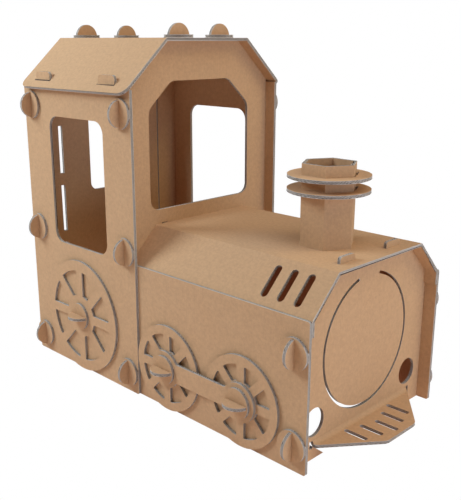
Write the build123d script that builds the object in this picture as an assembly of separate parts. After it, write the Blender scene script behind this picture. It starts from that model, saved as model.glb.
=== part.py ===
from build123d import *
import math
import os

# Toy train of flat double-wall board: cut sheets, folded covers and slotted joints.
# X runs forward, Y to the train's left and Z up. The outlines are drawn with X from the cab's
# rear edge and Y from the middle, and every piece is then moved to the middle of the footprint.

# Board and the play of a slot around what passes through it
board = 7.0
play = 0.4
fold_radius = 5.0

# Cab
cab_length = 430.0
cab_width = 482.0
wall_inset = 30.5
side_window_rear = 107.0
side_window_front = 103.5
side_window_rise = 34.0
side_window_drop = 69.0
window_radius = 30.0
panel_corner = 5.0

# Roof
roof_top = 828.0
roof_flat_half = 131.0
roof_fall = 116.0
eave_reach = 18.0
roof_setback_rear = 9.0
roof_setback_front = 0.5
eave_radius = 24.0
roof_tab_length = 60.0
roof_tab_rise = 20.0
roof_tab_inset = 81.2
roof_tab_radius = 9.0
ridge_tab_spread = 66.0

# Window in the cab's front wall
front_window_half = 164.0
front_window_rise = 35.0
front_window_drop = 96.0
front_window_slant = 70.0
front_window_radius = 26.0

# Entry door, cut in the rear wall and left joined along its hinge line
door_half = 166.0
door_low = 60.0
door_drop = 128.0
door_cut = 4.0
hinge_cut = 12.0
hinge_slit = 125.0
hinge_bridge = 32.0
hinge_start = 10.0
door_window_half = 76.0
door_window_low = 424.0
door_window_drop = 184.0
door_window_radius = 20.0

# Boiler
boiler_length = 504.5
boiler_lap = 62.0
boiler_side_height = 322.0
boiler_slope = 78.0
boiler_slope_rise = 78.0
cover_flap = 34.0
cover_tab_length = 60.0
cover_tab_reach = 12.0
cover_tab_spread = 100.0
front_inset = 30.0
nose_tab_length = 50.0
nose_tab_rise = 14.0
nose_tab_spread = 81.0
nose_tab_radius = 7.0

# Louvres in the boiler's slopes
louvre_count = 3
louvre_pitch = 42.5
louvre_length = 75.0
louvre_width = 18.0
louvre_front_gap = 51.0

# Round door and lamp holes in the boiler's front
hatch_radius_share = 0.37625
hatch_height_share = 0.52625
hatch_cut = 6.5
hatch_bridge_angle = 28.0
lamp_radius = 31.5
lamp_height = 82.5
lamp_spread = 171.5

# Cowcatcher, folded forward out of the boiler's front
catcher_height = 33.5
catcher_reach = 100.0
catcher_root_half = 179.0
catcher_nose_half = 53.0
catcher_corner = 26.0
catcher_bend = 10.0
catcher_notch = 5.0
catcher_slot_count = 5
catcher_slot_pitch = 39.6
catcher_slot_length = 56.5
catcher_slot_width = 12.0
catcher_slot_start = 10.7
catcher_slot_step = 11.6

# Funnel
funnel_sides = 6
funnel_radius = 62.5
funnel_height = 177.0
funnel_tab_length = 30.0
funnel_tab_reach = 12.0
funnel_setback = 114.0
disc_radius = 89.0
disc_gap = 23.0
disc_height = 115.5
disc_slack = 2.6

# Half-disc heads and the round washers under them
head_radius = 31.0
head_rise = 26.0
neck_width = 44.0
washer_radius = 34.0
anchor_low = 50.0
anchor_middle_rise = 28.0
anchor_drop = 46.0
boiler_anchor_low = 55.0
boiler_anchor_drop = 72.0

# Wheels and coupling rod
big_radius_share = 0.337
big_place_share = 0.49
big_rim = 27.0
big_hub = 54.5
big_spoke = 23.5
small_radius_share = 0.2334
small_rim = 20.0
small_hub = 46.0
small_spoke = 20.5
wheel_cab_gap = 2.5
wheel_washer_gap = 8.4
wheel_clear = 0.5
spoke_count = 8
spoke_corner = 3.0
rod_end_radius = 44.0
rod_bar = 45.0
rod_corner = 12.0
key_end = 14.0
key_taper = 6.0

# Places worked out from the sizes above
half_width = cab_width / 2
inside = half_width - board
boiler_face = inside - board
boiler_top = boiler_side_height + boiler_slope_rise
front_face = cab_length + boiler_length - front_inset
overall_length = front_face + catcher_reach
cab_front_face = cab_length - wall_inset
wall_middle = wall_inset + board / 2
front_wall_middle = cab_length - wall_middle
panel_middle = front_face - board / 2
over = board
slot_width = board + 2 * play
eave_height = roof_top - roof_fall
roof_rear = roof_setback_rear
roof_front = cab_length - roof_setback_front
roof_middle = (roof_rear + roof_front) / 2
roof_tab_spread = (roof_front - roof_rear) / 2 - roof_tab_inset
anchor_middle = boiler_side_height + anchor_middle_rise
anchor_high = eave_height - anchor_drop
boiler_anchor_high = boiler_side_height - boiler_anchor_drop
hatch_radius = hatch_radius_share * boiler_top
hatch_height = hatch_height_share * boiler_top
front_window_low = boiler_top + front_window_rise
front_window_high = roof_top - front_window_drop
door_high = roof_top - door_drop
door_window_high = roof_top - door_window_drop

# Wheels: the big one fills its share of the cab, the small ones the run up to the front washers
big_radius = big_radius_share * cab_length
big_rear = big_place_share * cab_length
big_height = big_radius + wheel_clear
side_window_low = big_height + big_radius + side_window_rise
side_window_high = eave_height - side_window_drop
small_run = boiler_length - front_inset - board / 2 - washer_radius
small_radius = small_radius_share * small_run
small_height = small_radius + wheel_clear
small_rear = cab_length + wheel_cab_gap + small_radius
washer_reach = small_radius + washer_radius + wheel_washer_gap
small_front = panel_middle - math.sqrt(washer_reach ** 2 - (small_height - boiler_anchor_low) ** 2)
wheel_base = small_front - small_rear


def across(sketch, y):
    """A sheet drawn in X and Z, with its outer face at y and its thickness towards -Y."""
    return extrude(Plane((0, y, 0), x_dir=(1, 0, 0), z_dir=(0, -1, 0)) * sketch, amount=board)


def upright(sketch, x, thickness=board):
    """A sheet drawn in Y and Z, from x forward."""
    return extrude(Plane((x, 0, 0), x_dir=(0, 1, 0), z_dir=(1, 0, 0)) * sketch, amount=thickness)


def level(sketch, z, thickness=board):
    """A sheet drawn in X and Y, from z upward."""
    return extrude(Pos(0, 0, z) * sketch, amount=thickness)


def outline(*corners):
    """A flat shape from (u, v, corner radius) rows."""
    shape = make_face(Polyline(*[(u, v) for u, v, r in corners], close=True))
    for radius in sorted({r for u, v, r in corners if r > 0}):
        places = [Vector(u, v) for u, v, r in corners if r == radius]
        found = [p for p in shape.vertices() if min((Vector(p.X, p.Y) - q).length for q in places) < play]
        shape = fillet(found, radius)
    return shape


def mirrored(half):
    """Rows for an outline that is alike on both sides of u = 0, from its rows at u > 0."""
    return list(half) + [(-u, v, r) for u, v, r in reversed(half)]


def box_window(left, right, low, high, radius):
    corners = [(left, low), (right, low), (right, high), (left, high)]
    return outline(*[(u, v, radius) for u, v in corners])


def round_head():
    """Half-disc with its straight side on v, standing out along +u."""
    arc = ThreePointArc((0, -head_radius), (head_rise, 0), (0, head_radius))
    return make_face([arc, Line((0, head_radius), (0, -head_radius))])


def anchor(reach):
    """Neck and half-disc head that grow out of a sheet's edge at u = 0."""
    neck = Pos((reach - over) / 2, 0) * Rectangle(reach + over, neck_width)
    return neck + Pos(reach, 0) * round_head()


def slot(length):
    return Rectangle(slot_width, length + 2 * play)


def slot_row(x, heights):
    cuts = Sketch()
    for height in heights:
        cuts += Pos(x, height) * slot(neck_width)
    return cuts


def folded(points, radius=fold_radius):
    """Section of a folded sheet from its outer line, given from the middle to the free end."""
    line = [Vector(*p) for p in points]
    inner = []
    for i, p in enumerate(line):
        before = (p - line[i - 1]).normalized() if i else (line[1] - p).normalized()
        after = (line[i + 1] - p).normalized() if i + 1 < len(line) else before
        turn = (before + after).normalized()
        share = 1 / max(turn.dot(before), play)
        normal = Vector(turn.Y, -turn.X)
        inner.append(p + normal * (board * share))
    outer = [(p.X, p.Y, radius if 0 < i < len(line) - 1 else 0) for i, p in enumerate(line)]
    back = [(p.X, p.Y, 0) for p in reversed(inner)]
    half = outline(*outer, *back)
    return half + mirror(half, about=Plane.YZ)


roof_line = [(0, roof_top), (roof_flat_half, roof_top), (half_width + eave_reach, eave_height)]
roof_fall_share = roof_fall / (half_width + eave_reach - roof_flat_half)
roof_drop = board * math.hypot(1, roof_fall_share)
roof_at_side = roof_top - (half_width - roof_flat_half) * roof_fall_share
cab_anchors = (anchor_low, anchor_middle, anchor_high)
boiler_anchors = (boiler_anchor_low, boiler_anchor_high)


def under_roof(half):
    """Height of the roof's underside at a distance from the middle."""
    return roof_top - (half - roof_flat_half) * roof_fall_share - roof_drop


def roof_knee():
    """Half width of the roof's flat part, measured on its underside."""
    return roof_flat_half - (roof_drop - board) / roof_fall_share


def wall_blank():
    """Outline of a cab wall with its side anchors and the two that pass up through the roof."""
    shape = outline(*mirrored([
        (inside, 0, 0), (inside, under_roof(inside), 0), (roof_knee(), roof_top - board, 0)]))
    for height in cab_anchors:
        shape += Pos(inside, height) * anchor(2 * board)
        shape += Pos(-inside, height) * Rot(0, 0, 180) * anchor(2 * board)
    for place in (-ridge_tab_spread, ridge_tab_spread):
        shape += Pos(place, roof_top - board) * Rot(0, 0, 90) * anchor(2 * board)
    return shape


def cab_front_wall():
    slant_rise = front_window_slant * roof_fall_share
    window = outline(*mirrored([
        (front_window_half, front_window_low, front_window_radius),
        (front_window_half, front_window_high - slant_rise, window_radius),
        (front_window_half - front_window_slant, front_window_high, window_radius)]))
    shape = wall_blank() - window
    for place in (-1, 1):
        shape -= Pos(place * (inside - board / 2), boiler_side_height / 2 - play) * Rectangle(
            board + 2 * play, boiler_side_height + 2 * play)
        shape += Pos(place * (inside - board / 2), anchor_low) * Rectangle(board + 2 * over, neck_width)
        shape -= Pos(place * cover_tab_spread, boiler_top - board / 2) * Rectangle(
            cover_tab_length + 2 * play, slot_width)
    return upright(shape, cab_front_face - board)


def door_cuts():
    """The door's free edge, and the row of slits along its hinge line."""
    shape = Pos(door_half, (door_low + door_high) / 2) * Rectangle(door_cut, door_high - door_low + door_cut)
    for height in (door_low, door_high):
        shape += Pos(0, height) * Rectangle(2 * door_half + door_cut, door_cut)
    step = hinge_slit + hinge_bridge
    for turn in range(math.ceil((door_high - hinge_start) / step)):
        low = max(hinge_start + turn * step, door_low)
        high = min(hinge_start + turn * step + hinge_slit, door_high)
        if high > low:
            shape += Pos(-door_half, (low + high) / 2) * Rectangle(hinge_cut, high - low)
    return shape


def cab_rear_wall():
    window = box_window(-door_window_half, door_window_half, door_window_low, door_window_high,
                        door_window_radius)
    return upright(wall_blank() - door_cuts() - window, wall_inset)


def cab_side():
    """The right side, outer face at -Y; the left one is its mirror image."""
    top = under_roof(half_width)
    shape = outline((0, 0, panel_corner), (cab_length, 0, panel_corner), (cab_length, top, 0), (0, top, 0))
    rise = roof_at_side + roof_tab_rise - top
    for place in (-roof_tab_spread, roof_tab_spread):
        left = roof_middle + place - roof_tab_length / 2
        right = left + roof_tab_length
        shape += outline((left, top - over, 0), (right, top - over, 0),
                         (right, top + rise, roof_tab_radius), (left, top + rise, roof_tab_radius))
    shape -= box_window(side_window_rear, cab_length - side_window_front, side_window_low,
                        side_window_high, window_radius)
    shape -= slot_row(wall_middle, cab_anchors) + slot_row(front_wall_middle, cab_anchors)
    shape -= Pos(big_rear, big_height) * Rot(0, 0, 90) * slot(neck_width)
    return across(shape, board - half_width)


def cab_roof():
    sheet = upright(folded(roof_line), roof_rear, roof_front - roof_rear)
    corners = [e for e in sheet.edges()
               if abs(e.length - board) < play and abs(e.center().Y) > half_width]
    sheet = fillet(corners, eave_radius)
    for side in (-1, 1):
        for place in (-roof_tab_spread, roof_tab_spread):
            cut = Box(roof_tab_length + 2 * play, slot_width, 4 * roof_tab_rise)
            sheet -= Pos(roof_middle + place, side * (half_width - board / 2), roof_at_side) * cut
    for x in (wall_middle, front_wall_middle):
        for place in (-ridge_tab_spread, ridge_tab_spread):
            sheet -= Pos(x, place, roof_top) * Box(slot_width, neck_width + 2 * play, 4 * board)
    return sheet


def boiler_side():
    rear = cab_length - boiler_lap
    front = cab_length + boiler_length
    shape = outline((rear, 0, 0), (front, 0, panel_corner), (front, boiler_side_height, panel_corner),
                    (rear, boiler_side_height, 0))
    shape -= slot_row(front_wall_middle, [anchor_low]) + slot_row(panel_middle, boiler_anchors)
    for place in (small_rear, small_front):
        shape -= Pos(place, small_height) * Rot(0, 0, 90) * slot(neck_width)
    return across(shape, board - inside)


def cover_line():
    return [(0, boiler_top), (boiler_face - boiler_slope, boiler_top), (boiler_face, boiler_side_height),
            (boiler_face, boiler_side_height - cover_flap)]


def louvre(turn):
    """A round-ended cut through the slope, laid out in the slope's own plane."""
    tilt = math.degrees(math.atan2(boiler_slope_rise, boiler_slope))
    x = cab_length + boiler_length - louvre_front_gap - turn * louvre_pitch
    middle = (x, -(boiler_face - boiler_slope / 2), (boiler_side_height + boiler_top) / 2)
    shape = Rot(0, 0, 90) * SlotOverall(louvre_length, louvre_width)
    return Pos(*middle) * Rot(tilt, 0, 0) * extrude(shape, amount=2 * board, both=True)


def boiler_cover():
    length = cab_length + boiler_length - cab_front_face
    sheet = upright(folded(cover_line()), cab_front_face, length)
    for turn in range(louvre_count):
        cut = louvre(turn)
        sheet -= cut
        sheet -= mirror(cut, about=Plane.XZ)
    tab_reach = board + cover_tab_reach
    for side in (-1, 1):
        tab = Box(tab_reach + over, cover_tab_length, board)
        sheet += Pos(cab_front_face + (over - tab_reach) / 2, side * cover_tab_spread,
                     boiler_top - board / 2) * tab
        nose = Box(slot_width, nose_tab_length + 2 * play, 4 * board)
        sheet -= Pos(panel_middle, side * nose_tab_spread, boiler_top) * nose
        stem = Box(funnel_tab_length + 2 * play, slot_width, 4 * board)
        sheet -= Pos(funnel_place(), side * (funnel_flat() - board / 2), boiler_top) * stem
    return sheet


def hatch_ring():
    """Narrow round cut of the hatch, open under the bridge at its top."""
    ring = Circle(hatch_radius) - Circle(hatch_radius - hatch_cut)
    half = math.radians(hatch_bridge_angle / 2)
    reach = 2 * hatch_radius
    wedge = make_face(Polyline((0, 0), (-reach * math.sin(half), reach * math.cos(half)),
                               (reach * math.sin(half), reach * math.cos(half)), close=True))
    return ring - wedge


def front_blank():
    flap_low = boiler_side_height - cover_flap
    mitre_share = math.tan(math.atan2(boiler_slope_rise, boiler_slope) / 2)
    inner = boiler_face - board
    knee = boiler_side_height - board * math.tan((math.pi / 2 - 2 * math.atan(mitre_share)) / 2)
    top_half = boiler_face - boiler_slope - board * mitre_share
    bend_top = catcher_height + catcher_bend
    shape = outline(*mirrored([
        (catcher_root_half, bend_top, 0), (catcher_root_half, catcher_height, 0),
        (catcher_side(0), 0, 0), (boiler_face, 0, 0),
        (boiler_face, flap_low, 0), (inner, flap_low, 0), (inner, knee, 0),
        (top_half, boiler_top - board, 0)]))
    for height in boiler_anchors:
        shape += Pos(boiler_face, height) * anchor(2 * board)
        shape += Pos(-boiler_face, height) * Rot(0, 0, 180) * anchor(2 * board)
    for side in (-1, 1):
        left = side * nose_tab_spread - nose_tab_length / 2
        right = left + nose_tab_length
        high = boiler_top + nose_tab_rise
        low = boiler_top - board - over
        shape += outline((left, low, 0), (right, low, 0), (right, high, nose_tab_radius),
                         (left, high, nose_tab_radius))
        shape -= Pos(side * lamp_spread, lamp_height) * Circle(lamp_radius)
    return shape


def catcher_side(height):
    """Half width of the cowcatcher's blank at a height, where it was cut from the sheet."""
    taper_share = (catcher_root_half - catcher_nose_half) / catcher_reach
    return catcher_root_half - (catcher_height - height) * taper_share


def cowcatcher():
    """The flap, bent forward out of the front's own sheet."""
    nose = front_face + catcher_reach
    back = front_face - board
    plan = outline((back, -catcher_root_half, 0), (front_face, -catcher_root_half, 0),
                   (nose, -catcher_nose_half, catcher_corner), (nose, catcher_nose_half, catcher_corner),
                   (front_face, catcher_root_half, 0), (back, catcher_root_half, 0))
    middle = (catcher_slot_count - 1) / 2
    for turn in range(catcher_slot_count):
        start = front_face + catcher_slot_start + catcher_slot_step * (middle - abs(turn - middle))
        place = Pos(start + catcher_slot_length / 2, (turn - middle) * catcher_slot_pitch)
        plan -= place * SlotOverall(catcher_slot_length, catcher_slot_width)
    low = catcher_height - board
    high = catcher_height + catcher_bend + over
    section = outline((back, high, 0), (front_face, high, 0), (front_face, catcher_height, catcher_bend),
                      (nose, catcher_height, 0), (nose, low, 0), (back, low, catcher_bend + board))
    bent = extrude(Plane((0, catcher_root_half, 0), x_dir=(1, 0, 0), z_dir=(0, -1, 0)) * section,
                   amount=2 * catcher_root_half)
    return bent & level(plan, low, high - low)


def boiler_front():
    """One sheet: the front with the round hatch left joined at its top, and the cowcatcher."""
    sheet = upright(front_blank() - Pos(0, hatch_height) * hatch_ring(), front_face - board) + cowcatcher()
    notch = Box(2 * board + 2 * catcher_bend, 2 * catcher_notch, board + catcher_bend)
    for side in (-1, 1):
        sheet -= Pos(panel_middle, side * catcher_root_half, catcher_height) * notch
    return sheet


def funnel_place():
    return front_face - funnel_setback


def funnel_flat():
    return funnel_radius * math.cos(math.pi / funnel_sides)


def hexagon(radius):
    return RegularPolygon(radius, funnel_sides)


def funnel_tube():
    wall = board / math.cos(math.pi / funnel_sides)
    ring = hexagon(funnel_radius) - hexagon(funnel_radius - wall)
    tube = level(ring, boiler_top, funnel_height)
    depth = board + funnel_tab_reach + over
    for side in (-1, 1):
        tab = Box(funnel_tab_length, board, depth)
        tube += Pos(0, side * (funnel_flat() - board / 2), boiler_top + over - depth / 2) * tab
    return Pos(funnel_place(), 0, 0) * tube


def funnel_disc(turn):
    """Round collar with a six-sided hole that is slack beside one face of the tube."""
    share = 1 / math.cos(math.pi / funnel_sides)
    hole = hexagon(funnel_radius + play * share)
    slack = Rot(0, 0, 180 / funnel_sides) * Pos(funnel_flat() + disc_slack / 2, 0) * Rectangle(
        disc_slack, funnel_radius - board)
    height = boiler_top + disc_height + turn * (board + disc_gap)
    return Pos(funnel_place(), 0, 0) * level(Circle(disc_radius) - hole - slack, height)


def wheel(radius, rim, hub, spoke):
    """Spoked wheel in X and Z about its own centre."""
    windows = Circle(radius - rim) - Circle(hub)
    for turn in range(spoke_count // 2):
        windows -= Rot(0, 0, turn * 360 / spoke_count) * Rectangle(2 * radius, spoke)
    windows = fillet(windows.vertices(), spoke_corner)
    return Circle(radius) - windows - Rot(0, 0, 90) * slot(neck_width)


def wheel_places():
    """Name, distance from the rear, height, and the face that the wheel lies on."""
    return [("big", big_rear, big_height, half_width), ("small_rear", small_rear, small_height, inside),
            ("small_front", small_front, small_height, inside)]


def coupling_rod():
    shape = Pos(wheel_base / 2, 0) * Rectangle(wheel_base, rod_bar)
    for turn in range(2):
        shape += Pos(turn * wheel_base, 0) * Circle(rod_end_radius)
    inward = [p for p in shape.vertices() if rod_end_radius / 2 < p.X < wheel_base - rod_end_radius / 2]
    shape = fillet(inward, rod_corner)
    for turn in range(2):
        shape -= Pos(turn * wheel_base, 0) * Rot(0, 0, 90) * slot(neck_width)
    return shape


def washer():
    return Circle(washer_radius) - slot(neck_width)


def hub_key(layers, inner_layers=2):
    """Flat key that lies level: head outside, neck through the layers, tapered end inside."""
    through = (layers + inner_layers) * board
    shape = anchor(through) - Pos(-over / 2, 0) * Rectangle(over, 2 * neck_width)
    side = neck_width / 2
    tail = outline((0, side, 0), (-board, side, 0), (-key_end, side - key_taper, 0),
                   (-key_end, key_taper - side, 0), (-board, -side, 0), (0, -side, 0))
    return shape + tail


def hub_pieces(name, x, height, face, layers):
    """Washers and key of one hub on the right side, from the panel's outer face outwards."""
    outer = face + layers * board
    turned = Rot(0, 0, 90) * washer()
    inner_face = face - board
    key = Rot(0, 0, -90) * hub_key(layers + 1)
    return {
        f"hub_washer_{name}": across(Pos(x, height) * turned, -outer),
        f"inner_washer_{name}": across(Pos(x, height) * turned, board - inner_face),
        f"hub_key_{name}": level(Pos(x, -inner_face + board) * key, height - board / 2),
    }


def side_pieces():
    """Everything that the right side has and the left side has as a mirror image."""
    pieces = {"cab_side": cab_side(), "boiler_side": boiler_side()}
    for wall, x in (("rear", wall_middle), ("front", front_wall_middle)):
        for spot, height in zip(("low", "middle", "high"), cab_anchors):
            pieces[f"cab_washer_{wall}_{spot}"] = across(Pos(x, height) * washer(), -half_width)
    for spot, height in zip(("low", "high"), boiler_anchors):
        pieces[f"boiler_washer_{spot}"] = across(Pos(panel_middle, height) * washer(), -inside)
    small = wheel(small_radius, small_rim, small_hub, small_spoke)
    shapes = {"big": wheel(big_radius, big_rim, big_hub, big_spoke), "small_rear": small,
              "small_front": small}
    for name, x, height, face in wheel_places():
        pieces[f"wheel_{name}"] = across(Pos(x, height) * shapes[name], -face)
        layers = 1 if name == "big" else 2
        pieces.update(hub_pieces(name, x, height, face, layers))
    pieces["coupling_rod"] = across(Pos(small_rear, small_height) * coupling_rod(), -inside - board)
    return pieces


def roof_washers():
    pieces = {}
    for wall, x in (("rear", wall_middle), ("front", front_wall_middle)):
        for side, place in (("right", -ridge_tab_spread), ("left", ridge_tab_spread)):
            pieces[f"roof_washer_{wall}_{side}"] = level(Pos(x, place) * washer(), roof_top)
    return pieces


def all_pieces():
    pieces = {"cab_roof": cab_roof(), "cab_front_wall": cab_front_wall(), "cab_rear_wall": cab_rear_wall(),
              "boiler_cover": boiler_cover(), "boiler_front": boiler_front(), "funnel_tube": funnel_tube(),
              "funnel_disc_lower": funnel_disc(0), "funnel_disc_upper": funnel_disc(1)}
    pieces.update(roof_washers())
    for name, piece in side_pieces().items():
        pieces[f"{name}_right"] = piece
        pieces[f"{name}_left"] = mirror(piece, about=Plane.XZ)
    return pieces


os.makedirs("parts", exist_ok=True)
for node, piece in all_pieces().items():
    export_step(Pos(-overall_length / 2, 0, 0) * piece, f"parts/{node}.step")
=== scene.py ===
import math

import bmesh
import bpy
import numpy as np
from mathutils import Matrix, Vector
from mathutils.bvhtree import BVHTree


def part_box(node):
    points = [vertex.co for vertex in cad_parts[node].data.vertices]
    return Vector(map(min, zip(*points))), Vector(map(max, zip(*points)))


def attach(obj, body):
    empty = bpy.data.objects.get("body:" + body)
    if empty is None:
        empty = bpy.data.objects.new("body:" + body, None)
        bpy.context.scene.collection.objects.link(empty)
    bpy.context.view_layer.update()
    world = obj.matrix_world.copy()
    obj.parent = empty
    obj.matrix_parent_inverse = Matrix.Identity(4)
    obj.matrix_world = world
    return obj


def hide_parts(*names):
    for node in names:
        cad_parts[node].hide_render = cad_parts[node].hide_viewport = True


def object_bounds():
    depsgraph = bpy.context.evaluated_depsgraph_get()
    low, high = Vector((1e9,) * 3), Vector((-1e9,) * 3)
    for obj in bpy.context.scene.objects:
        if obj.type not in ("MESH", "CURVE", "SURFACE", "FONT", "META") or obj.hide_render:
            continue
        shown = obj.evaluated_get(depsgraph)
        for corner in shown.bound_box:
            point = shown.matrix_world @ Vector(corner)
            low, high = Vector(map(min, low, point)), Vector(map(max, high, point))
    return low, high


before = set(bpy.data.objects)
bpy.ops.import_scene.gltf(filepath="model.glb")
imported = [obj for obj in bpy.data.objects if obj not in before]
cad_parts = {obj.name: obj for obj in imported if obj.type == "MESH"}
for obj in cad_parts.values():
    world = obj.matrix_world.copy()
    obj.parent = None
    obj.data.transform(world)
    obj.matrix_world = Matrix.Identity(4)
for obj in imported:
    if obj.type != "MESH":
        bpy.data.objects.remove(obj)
cad_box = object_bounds()

# A toy train of brown double-wall board. Each sheet gets its two liners, its cut edges with the
# flutes showing, and a matt kraft surface. Sizes are in metres.
MM = 0.001

# The board, its papers and its flutes
BOARD = 7.0 * MM
LINER = 0.8 * MM
MIDDLE_LINER = 0.8 * MM
FLUTE_PAPER = 0.8 * MM
FINE_ROW = 2.3 * MM
COARSE_ROW = BOARD - 2 * LINER - MIDDLE_LINER - FINE_ROW
FINE_PITCH = 6.4 * MM
COARSE_PITCH = 7.9 * MM
RECESS = 2.2 * MM
LIP = 0.15 * MM
SAMPLE = 1.4 * MM

# Grain of the kraft liner
CLOUD_SIZE = 110.0 * MM
FIBRE_SIZE = 2.2 * MM
MOTTLE_SIZE = 7.0 * MM
SPECK_SIZE = 9.0 * MM
FIBRE_HEIGHT = 0.12 * MM

# Limits for telling a sheet's faces and edges apart
HIDDEN_SLOT = 110.0 * MM
BOARD_SLACK = 1.4 * MM
WELD = 0.01 * MM
SLIVER = 0.2 * MM
OPPOSITE = -0.7
SAME_WALL = 0.999
SAME_PLANE = 0.9999
SHARP_ANGLE = 24.0

# Places of the finishes on a sheet, after its liner's own place 0
END_PLACE = 1
FLUTE_PLACE = 2
# The recess's dark finish is painted shade: inside, the flutes are the same grey paper.
PAINTED_SHADE_PLACE = 3

# The camera, as the photograph's parallel edges give it
IMAGE_HEIGHT = 500.0
IMAGE_WIDTH = 461.0
FOCAL_PIXELS = 745.7
CENTRE_X = 222.4
CENTRE_Y = 248.2
CAMERA_PLACE = (1.2257, -1.2564, 0.8228)
CAMERA_YAW = 44.97
CAMERA_PITCH = 15.6
SENSOR = 36.0

FLOOR_REACH = 12.0

# Direction across the flutes, sheet by sheet
ACROSS_X = (1.0, 0.0, 0.0)
ACROSS_Y = (0.0, 1.0, 0.0)
ACROSS_VIEW = (0.707, 0.707, 0.0)
FOLD_SHARE = 0.414
ALONG_FOLD = (0.0, 1.0, -FOLD_SHARE)


def colour(code):
    """Linear colour from an sRGB hex code."""
    parts = [int(code[i:i + 2], 16) / 255 for i in (1, 3, 5)]
    linear = [c / 12.92 if c <= 0.04045 else ((c + 0.055) / 1.055) ** 2.4 for c in parts]
    return (*linear, 1.0)


def add(tree, kind, values=None, links=None, **settings):
    """Adds a node with its settings, its input values and the sockets that feed it."""
    node = tree.nodes.new(kind)
    for name, value in settings.items():
        setattr(node, name, value)
    for socket, value in (values or {}).items():
        node.inputs[socket].default_value = value
    for socket, source in (links or {}).items():
        tree.links.new(source, node.inputs[socket])
    return node


def new_material(name):
    material = bpy.data.materials.new(name)
    material.use_nodes = True
    material.node_tree.nodes.clear()
    return material, material.node_tree


def finish_material(tree, links, values):
    shader = add(tree, "ShaderNodeBsdfPrincipled", values, links)
    add(tree, "ShaderNodeOutputMaterial", links={"Surface": shader.outputs["BSDF"]})


def spread(tree, source, low, high):
    """Maps a pattern from 0..1 to low..high."""
    limits = {"To Min": low, "To Max": high}
    return add(tree, "ShaderNodeMapRange", limits, {"Value": source}).outputs["Result"]


def product(tree, first, second):
    return add(tree, "ShaderNodeMath", links={0: first, 1: second}, operation="MULTIPLY").outputs[0]


def blend(tree, factor, first, second):
    """A colour between two hex colours."""
    return add(tree, "ShaderNodeMix", {6: colour(first), 7: colour(second)}, {0: factor},
               data_type="RGBA").outputs[2]


def kraft_liner(name, across, folded=False):
    """Unbleached kraft liner: matt and mottled, with fine fibres, specks and flute stripes that are a bump
    and also painted shade.
    """
    material, tree = new_material(name)
    place = add(tree, "ShaderNodeTexCoord").outputs["Object"]
    flat = place
    if folded:
        flat = add(tree, "ShaderNodeVectorMath", links={0: place}, operation="ABSOLUTE").outputs[0]
    cloud = add(tree, "ShaderNodeTexNoise", {"Scale": 1 / CLOUD_SIZE, "Detail": 3.0, "Roughness": 0.55},
                {"Vector": place}).outputs["Fac"]
    fibre = add(tree, "ShaderNodeTexNoise", {"Scale": 1 / FIBRE_SIZE, "Detail": 6.0, "Roughness": 0.7},
                {"Vector": place}).outputs["Fac"]
    mottle = add(tree, "ShaderNodeTexNoise", {"Scale": 1 / MOTTLE_SIZE, "Detail": 2.0, "Roughness": 0.6},
                 {"Vector": place}).outputs["Fac"]
    fleck = add(tree, "ShaderNodeTexVoronoi", {"Scale": 1 / SPECK_SIZE, "Randomness": 1.0},
                {"Vector": place}).outputs["Distance"]
    turns = add(tree, "ShaderNodeVectorMath", {1: across}, {0: flat},
                operation="DOT_PRODUCT").outputs["Value"]
    angle = add(tree, "ShaderNodeMath", {1: 2 * math.pi / FINE_PITCH}, {0: turns},
                operation="MULTIPLY").outputs[0]
    # The flute stripes: a real bump, plus a slight darkening of the colour that is painted shade.
    washboard_shade_and_bump = add(tree, "ShaderNodeMath", links={0: angle}, operation="SINE").outputs[0]
    washboard_shade_and_bump = spread(tree, washboard_shade_and_bump, 0.985, 1.0)
    speck_limits = {"From Min": 0.03, "From Max": 0.09, "To Min": 0.86, "To Max": 1.0}
    speck = add(tree, "ShaderNodeMapRange", speck_limits, {"Value": fleck}).outputs["Result"]
    grain = product(tree, spread(tree, mottle, 0.84, 1.16), spread(tree, fibre, 0.88, 1.12))
    # The liner's tone: random cloud, mottle, fibre and specks, times the stripes' painted shade.
    shade = product(tree, product(tree, spread(tree, cloud, 0.92, 1.08), grain), product(tree, washboard_shade_and_bump, speck))
    warm = blend(tree, cloud, "#CBA47C", "#BE9770")
    toned = add(tree, "ShaderNodeVectorMath", links={0: warm, "Scale": shade}, operation="SCALE").outputs[0]
    height = add(tree, "ShaderNodeMath", {1: 0.35}, {0: washboard_shade_and_bump, 2: fibre}, operation="MULTIPLY_ADD").outputs[0]
    bump = add(tree, "ShaderNodeBump", {"Strength": 0.35, "Distance": FIBRE_HEIGHT}, {"Height": height})
    finish_material(tree, {"Base Color": toned, "Normal": bump.outputs["Normal"]},
                    {"Roughness": 0.88, "Specular IOR Level": 0.25})
    return material


def cut_paper(name, light, dark, grain):
    """Raw cut paper, furry and without sheen, between a light and a dark tone."""
    material, tree = new_material(name)
    place = add(tree, "ShaderNodeTexCoord").outputs["Object"]
    noise = add(tree, "ShaderNodeTexNoise", {"Scale": 1 / grain, "Detail": 3.0}, {"Vector": place})
    mixed = blend(tree, noise.outputs["Fac"], light, dark)
    finish_material(tree, {"Base Color": mixed}, {"Roughness": 0.95, "Specular IOR Level": 0.1})
    return material


def vector_attribute(tree, name):
    return add(tree, "GeometryNodeInputNamedAttribute", {"Name": name}, data_type="FLOAT_VECTOR").outputs[0]


def scaled(tree, vector, amount):
    """A vector times a number, which is a socket or a value."""
    links = {0: vector}
    values = {}
    (values if isinstance(amount, float) else links)["Scale"] = amount
    return add(tree, "ShaderNodeVectorMath", values, links, operation="SCALE").outputs[0]


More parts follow.
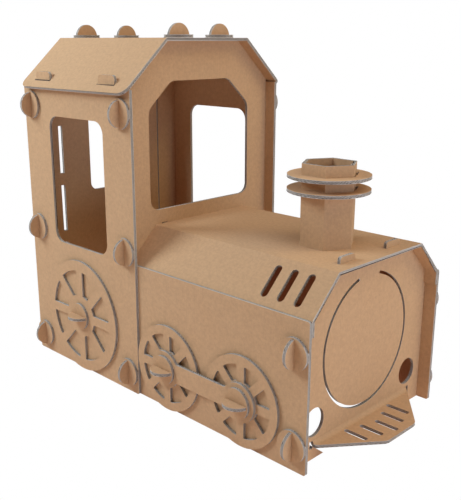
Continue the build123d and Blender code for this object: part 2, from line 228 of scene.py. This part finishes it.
def ribbon(tree, edges, level, swing, pitch, paper, depth):
    """One paper end along the cut: it waves between the liners and runs in from the lip."""
    out = vector_attribute(tree, "face_out")
    inward = vector_attribute(tree, "inward")
    along = add(tree, "GeometryNodeInputNamedAttribute", {"Name": "along"}, data_type="FLOAT").outputs[0]
    turns = add(tree, "ShaderNodeMath", links={0: along, 1: pitch}, operation="DIVIDE").outputs[0]
    angle = add(tree, "ShaderNodeMath", {1: 2 * math.pi}, {0: turns}, operation="MULTIPLY").outputs[0]
    wave = add(tree, "ShaderNodeMath", links={0: angle}, operation="SINE").outputs[0]
    height = add(tree, "ShaderNodeMath", links={0: wave, 1: swing, 2: level},
                 operation="MULTIPLY_ADD").outputs[0]
    down = add(tree, "ShaderNodeMath", {1: -1.0}, {0: height}, operation="MULTIPLY").outputs[0]
    ways = {0: scaled(tree, out, down), 1: scaled(tree, inward, LIP)}
    start = add(tree, "ShaderNodeVectorMath", links=ways, operation="ADD").outputs[0]
    strip = add(tree, "GeometryNodeSetPosition", links={"Geometry": edges, "Offset": start}).outputs[0]
    selection = None
    back_depth = add(tree, "ShaderNodeMath", {1: -1.0}, {0: depth}, operation="MULTIPLY").outputs[0]
    back_paper = add(tree, "ShaderNodeMath", {1: -1.0}, {0: paper}, operation="MULTIPLY").outputs[0]
    for vector, amount in ((out, paper), (inward, depth), (out, back_paper), (inward, back_depth)):
        links = {"Mesh": strip, "Offset": scaled(tree, vector, amount)}
        if selection is not None:
            links["Selection"] = selection
        step = add(tree, "GeometryNodeExtrudeMesh", {"Offset Scale": 1.0}, links, mode="EDGES")
        strip, selection = step.outputs["Mesh"], step.outputs["Top"]
    return add(tree, "GeometryNodeMergeByDistance", {"Distance": WELD}, {"Geometry": strip}).outputs[0]


def cut_edge_tree(material):
    """Two rows of flutes and the middle liner along every cut edge of a sheet."""
    tree = bpy.data.node_groups.new("cut_edge_flutes", "GeometryNodeTree")
    tree.interface.new_socket("Geometry", in_out="INPUT", socket_type="NodeSocketGeometry")
    sizes = {"Spacing": SAMPLE, "Paper": FLUTE_PAPER, "Depth": RECESS - LIP, "Fine pitch": FINE_PITCH,
             "Coarse pitch": COARSE_PITCH, "Fine row": FINE_ROW, "Coarse row": COARSE_ROW,
             "Liner": LINER, "Middle liner": MIDDLE_LINER}
    for name, value in sizes.items():
        socket = tree.interface.new_socket(name, in_out="INPUT", socket_type="NodeSocketFloat")
        socket.default_value = value
    tree.interface.new_socket("Geometry", in_out="OUTPUT", socket_type="NodeSocketGeometry")
    given = tree.nodes.new("NodeGroupInput").outputs
    curve = add(tree, "GeometryNodeMeshToCurve", links={"Mesh": given["Geometry"]}).outputs[0]
    even = add(tree, "GeometryNodeResampleCurve", links={"Curve": curve, "Length": given["Spacing"]},
               mode="LENGTH")
    edges = add(tree, "GeometryNodeCurveToMesh", links={"Curve": even.outputs[0]}).outputs[0]
    corners = add(tree, "GeometryNodeCurveToMesh", links={"Curve": curve}).outputs[0]

    def sum_of(*terms):
        total = terms[0]
        for term in terms[1:]:
            total = add(tree, "ShaderNodeMath", links={0: total, 1: term}, operation="ADD").outputs[0]
        return total

    def half_less_paper(row):
        less = add(tree, "ShaderNodeMath", links={0: row, 1: given["Paper"]}, operation="SUBTRACT").outputs[0]
        return add(tree, "ShaderNodeMath", {1: 0.5}, {0: less}, operation="MULTIPLY").outputs[0]

    fine_swing = half_less_paper(given["Fine row"])
    coarse_swing = half_less_paper(given["Coarse row"])
    fine_level = sum_of(given["Liner"], fine_swing, given["Paper"])
    middle_level = sum_of(given["Liner"], given["Fine row"], given["Middle liner"])
    coarse_level = sum_of(middle_level, coarse_swing, given["Paper"])
    still = add(tree, "ShaderNodeMath", {0: 0.0, 1: 0.0}, operation="ADD").outputs[0]
    paper, depth, middle = given["Paper"], given["Depth"], given["Middle liner"]
    rows = [ribbon(tree, edges, fine_level, fine_swing, given["Fine pitch"], paper, depth),
            ribbon(tree, edges, coarse_level, coarse_swing, given["Coarse pitch"], paper, depth),
            ribbon(tree, corners, middle_level, still, given["Fine pitch"], middle, depth)]
    joined = tree.nodes.new("GeometryNodeJoinGeometry")
    for row in rows:
        tree.links.new(row, joined.inputs[0])
    real = add(tree, "GeometryNodeRealizeInstances", links={"Geometry": joined.outputs[0]})
    made = add(tree, "GeometryNodeSetMaterial", {"Material": material}, {"Geometry": real.outputs[0]})
    out = tree.nodes.new("NodeGroupOutput")
    tree.links.new(made.outputs[0], out.inputs["Geometry"])
    return tree


def liner_side(name, place):
    """Direction that counts as a sheet's outer side at a place on it."""
    if name in ("cab_roof", "boiler_cover"):
        return Vector((0, place.y, 0.3 * abs(place.y) + MM))
    if name == "funnel_tube":
        low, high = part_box(name)
        return Vector((place.x - (low.x + high.x) / 2, place.y, 0))
    return Vector((1, 0.1, 1))


def flute_run(name):
    """Direction across a sheet's flutes, and whether it is measured round its folds."""
    if name in ("cab_roof", "boiler_cover"):
        return ALONG_FOLD, True
    if name in ("cab_front_wall", "cab_rear_wall", "boiler_front"):
        return ACROSS_Y, False
    if name.startswith(("funnel", "roof_washer")):
        return ACROSS_VIEW, False
    return ACROSS_X, False


def is_liner(tree, face):
    """A face is a liner where the board behind it is one board thick."""
    inside = face.calc_center_median() - face.normal * WELD
    hit = tree.ray_cast(inside, -face.normal)
    if hit[3] is None:
        return False
    return abs(hit[3] - BOARD) < BOARD_SLACK and hit[1].dot(face.normal) < OPPOSITE


def regions(faces):
    """Groups of faces that share edges, always in the mesh's own order."""
    left = set(faces)
    groups = []
    for start in faces:
        if start not in left:
            continue
        left.discard(start)
        group = []
        front = [start]
        while front:
            face = front.pop()
            group.append(face)
            for edge in face.edges:
                for other in edge.link_faces:
                    if other in left:
                        left.discard(other)
                        front.append(other)
        groups.append(group)
    return groups


def outer_rim(name, group, liners):
    """Edges between a cut face and the outer liner."""
    rim = []
    for face in group:
        for edge in face.edges:
            for other in edge.link_faces:
                if other in liners and other.normal.dot(liner_side(name, other.calc_center_median())) > 0:
                    rim.append(edge)
    return rim


def edge_loops(name, rims, liners, cuts):
    """Wire mesh along the outer liner's rim, with what the flutes need stored at its points."""
    run, folded = flute_run(name)
    points = {}
    wires = []
    for rim in rims:
        for edge in rim:
            wires.append([points.setdefault(v, len(points)) for v in edge.verts])
    mesh = bpy.data.meshes.new(name + "_rim")
    mesh.from_pydata([v.co[:] for v in points], wires, [])
    outs, inwards, alongs = [], [], []
    for vert in points:
        faces = [f for f in vert.link_faces if f in liners
                 and f.normal.dot(liner_side(name, f.calc_center_median())) > 0]
        out = sum((f.normal * f.calc_area() for f in faces), Vector()).normalized()
        walls = []
        for face in vert.link_faces:
            if face in cuts and all(face.normal.dot(w) < SAME_WALL for w in walls):
                walls.append(face.normal.copy())
        back = sum(walls, Vector())
        back -= out * back.dot(out)
        back.normalize()
        reach = max(min((back.dot(w) for w in walls), default=1.0), 0.5)
        place = vert.co.copy()
        if folded:
            place.y = abs(place.y)
        outs.extend(out)
        inwards.extend(-back / reach)
        alongs.append(place.dot(Vector(run)))
    for title, kind, key, values in (("face_out", "FLOAT_VECTOR", "vector", outs),
                                     ("inward", "FLOAT_VECTOR", "vector", inwards),
                                     ("along", "FLOAT", "value", alongs)):
        mesh.attributes.new(title, kind, "POINT").data.foreach_set(key, values)
    return mesh


def grown_flutes(name, mesh, tree):
    """The rim's flutes as a plain mesh."""
    holder = bpy.data.objects.new(name + "_flutes", mesh)
    bpy.context.scene.collection.objects.link(holder)
    modifier = holder.modifiers.new("flutes", "NODES")
    modifier.node_group = tree
    graph = bpy.context.evaluated_depsgraph_get()
    grown = bpy.data.meshes.new_from_object(holder.evaluated_get(graph))
    bpy.data.objects.remove(holder)
    return grown


def sunk(normals):
    """The move that takes a corner RECESS below every cut face that meets there."""
    distinct = []
    for normal in normals:
        if normal.length > 0.5 and all(normal.dot(other) < SAME_PLANE for other in distinct):
            distinct.append(normal)
    if not distinct:
        return Vector()
    rows = np.array([tuple(n) for n in distinct])
    move = Vector(np.linalg.lstsq(rows, np.full(len(rows), -RECESS), rcond=0.1)[0])
    return move if move.length < 2 * RECESS else move.normalized() * (2 * RECESS)


def recess_cuts(bm, cuts):
    """Leaves each liner's thin end in place and sinks the cut face between them."""
    faces = list(cuts)
    before = set(bm.verts)
    rim = bmesh.ops.inset_region(bm, faces=faces, thickness=LINER, depth=0.0, use_even_offset=True,
                                 use_boundary=True)["faces"]
    for vert in {v for face in faces for v in face.verts if v not in before}:
        for edge in vert.link_edges:
            root = edge.other_vert(vert)
            if root in before and (vert.co - root.co).length > 2 * LINER:
                vert.co = root.co + (vert.co - root.co).normalized() * (2 * LINER)
    walls = bmesh.ops.inset_region(bm, faces=faces, thickness=0.0, depth=0.0, use_boundary=True)["faces"]
    bm.normal_update()
    region = set(faces)
    moves = {v: sunk([f.normal for f in v.link_faces if f in region]) for face in faces for v in face.verts}
    for vert, move in moves.items():
        vert.co += move
    return rim, walls


def board_sheet(name, tree, finishes):
    """Replaces a node by its dressed sheet: liners, raw paper ends, flutes, and a recess whose dark colour is
    painted shade.
    """
    bm = bmesh.new()
    bm.from_mesh(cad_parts[name].data)
    bmesh.ops.remove_doubles(bm, verts=bm.verts, dist=SLIVER)
    bmesh.ops.dissolve_degenerate(bm, edges=bm.edges, dist=WELD)
    bm.normal_update()
    thickness = BVHTree.FromBMesh(bm)
    liners = {f for f in bm.faces if is_liner(thickness, f)}
    rims, cuts = [], []
    for group in regions([f for f in bm.faces if f not in liners]):
        rim = outer_rim(name, group, liners)
        if sum(e.calc_length() for e in rim) > HIDDEN_SLOT:
            rims.append(rim)
            cuts.extend(group)
    wire = edge_loops(name, rims, liners, set(cuts))
    plain = [f for f in bm.faces if f not in liners]
    for face in plain:
        face.material_index = END_PLACE
    rim_faces, wall_faces = recess_cuts(bm, cuts)
    for face in rim_faces:
        face.material_index = END_PLACE
    # The recess walls and floor take the painted shade.
    for face in list(wall_faces) + cuts:
        face.material_index = PAINTED_SHADE_PLACE
    grown = grown_flutes(name, wire, tree)
    flutes = bmesh.new()
    flutes.from_mesh(grown)
    bmesh.ops.recalc_face_normals(flutes, faces=flutes.faces)
    for face in flutes.faces:
        face.material_index = FLUTE_PLACE
    flutes.to_mesh(grown)
    flutes.free()
    bm.from_mesh(grown)
    mesh = bpy.data.meshes.new(name + "_board")
    bm.to_mesh(mesh)
    bm.free()
    for material in finishes:
        mesh.materials.append(material)
    mesh.polygons.foreach_set("use_smooth", [True] * len(mesh.polygons))
    mesh.set_sharp_from_angle(angle=math.radians(SHARP_ANGLE))
    piece = bpy.data.objects.new(name + "_board", mesh)
    bpy.context.scene.collection.objects.link(piece)
    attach(piece, "root")
    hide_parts(name)
    return piece


def dress_train():
    end = cut_paper("raw liner end, grey cut paper", "#DFD8CE", "#B6ACA0", 3.0 * MM)
    flute = cut_paper("flute paper, grey and furry", "#D2CABF", "#A2978B", 3.0 * MM)
    # These dark tones are painted shade for the inside of the flutes, not a darker paper.
    recess_shade = cut_paper("painted shade inside the flutes", "#665C54", "#352E28", 6.0 * MM)
    tree = cut_edge_tree(flute)
    liners = {}
    for name in sorted(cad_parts):
        run = flute_run(name)
        if run not in liners:
            liners[run] = kraft_liner("kraft liner, unbleached and matt, {}".format(len(liners) + 1), *run)
        board_sheet(name, tree, [liners[run], end, flute, recess_shade])


def camera():
    """The photograph's viewpoint: focal length and centre from its own vanishing points."""
    data = bpy.data.cameras.new("photo_camera")
    data.sensor_width = SENSOR
    data.lens = FOCAL_PIXELS / IMAGE_HEIGHT * SENSOR
    data.shift_x = (IMAGE_WIDTH / 2 - CENTRE_X) / IMAGE_HEIGHT
    data.shift_y = (CENTRE_Y - IMAGE_HEIGHT / 2) / IMAGE_HEIGHT
    seen = bpy.data.objects.new("photo_camera", data)
    seen.location = CAMERA_PLACE
    seen.rotation_euler = (math.radians(90 - CAMERA_PITCH), 0, math.radians(CAMERA_YAW))
    bpy.context.scene.collection.objects.link(seen)
    bpy.context.scene.camera = seen


def soft_lamp(name, place, target, size, power, tint):
    data = bpy.data.lights.new(name, "AREA")
    data.shape = "DISK"
    data.size = size
    data.energy = power
    data.color = tint
    lamp = bpy.data.objects.new(name, data)
    lamp.location = place
    lamp.rotation_euler = (Vector(target) - Vector(place)).to_track_quat("-Z", "Y").to_euler()
    bpy.context.scene.collection.objects.link(lamp)


def seen_directly(tree):
    """1 for what the camera, a gloss or a glass sees, 0 for light that falls on things."""
    path = tree.nodes.new("ShaderNodeLightPath").outputs
    first = add(tree, "ShaderNodeMath", links={0: path["Is Camera Ray"], 1: path["Is Glossy Ray"]},
                operation="MAXIMUM").outputs[0]
    return add(tree, "ShaderNodeMath", links={0: first, 1: path["Is Transmission Ray"]},
               operation="MAXIMUM").outputs[0]


def studio():
    world = bpy.data.worlds.new("studio")
    bpy.context.scene.world = world
    world.use_nodes = True
    tree = world.node_tree
    tree.nodes.clear()
    sky = add(tree, "ShaderNodeBackground", {"Color": (1, 0.75, 0.62, 1), "Strength": 0.08})
    white = add(tree, "ShaderNodeBackground", {"Color": (1, 1, 1, 1), "Strength": 1.0})
    mixed = add(tree, "ShaderNodeMixShader",
                links={0: seen_directly(tree), 1: sky.outputs[0], 2: white.outputs[0]})
    add(tree, "ShaderNodeOutputWorld", links={"Surface": mixed.outputs[0]})
    soft_lamp("key_lamp", (-1.5, -1.6, 1.9), (-0.2, 0.0, 0.5), 1.3, 55.0, (0.74, 0.88, 1.0))
    soft_lamp("low_front_lamp", (2.3, 0.2, 0.7), (0.3, 0.0, 0.25), 1.3, 18.0, (0.6, 0.76, 1.0))
    soft_lamp("top_lamp", (1.1, -0.5, 3.4), (0.2, 0.0, 0.4), 2.6, 42.0, (0.88, 0.9, 1.0))
    soft_lamp("warm_lamp", (2.4, 1.6, 3.0), (0.2, 0.0, 0.4), 2.0, 36.0, (1.0, 0.86, 0.5))


def floor():
    mesh = bpy.data.meshes.new("floor")
    level = cad_box[0][2]
    signs = ((-1, -1), (1, -1), (1, 1), (-1, 1))
    points = [(x * FLOOR_REACH, y * FLOOR_REACH, level) for x, y in signs]
    mesh.from_pydata(points, [], [(0, 1, 2, 3)])
    material, tree = new_material("white studio floor")
    matt = add(tree, "ShaderNodeBsdfDiffuse", {"Color": colour("#F4F4F4")})
    lit = add(tree, "ShaderNodeEmission", {"Color": (1, 0.45, 0.34, 1), "Strength": 0.23})
    table = add(tree, "ShaderNodeAddShader", links={0: matt.outputs[0], 1: lit.outputs[0]})
    glow = add(tree, "ShaderNodeEmission", {"Color": (1, 1, 1, 1), "Strength": 1.0})
    mixed = add(tree, "ShaderNodeMixShader",
                links={0: seen_directly(tree), 1: table.outputs[0], 2: glow.outputs[0]})
    add(tree, "ShaderNodeOutputMaterial", links={"Surface": mixed.outputs[0]})
    mesh.materials.append(material)
    ground = bpy.data.objects.new("floor", mesh)
    bpy.context.scene.collection.objects.link(ground)


def corners(box):
    return [[float(c) for c in corner] for corner in box]


bpy.context.scene.view_settings.view_transform = "Standard"
camera()
studio()
floor()
dress_train()
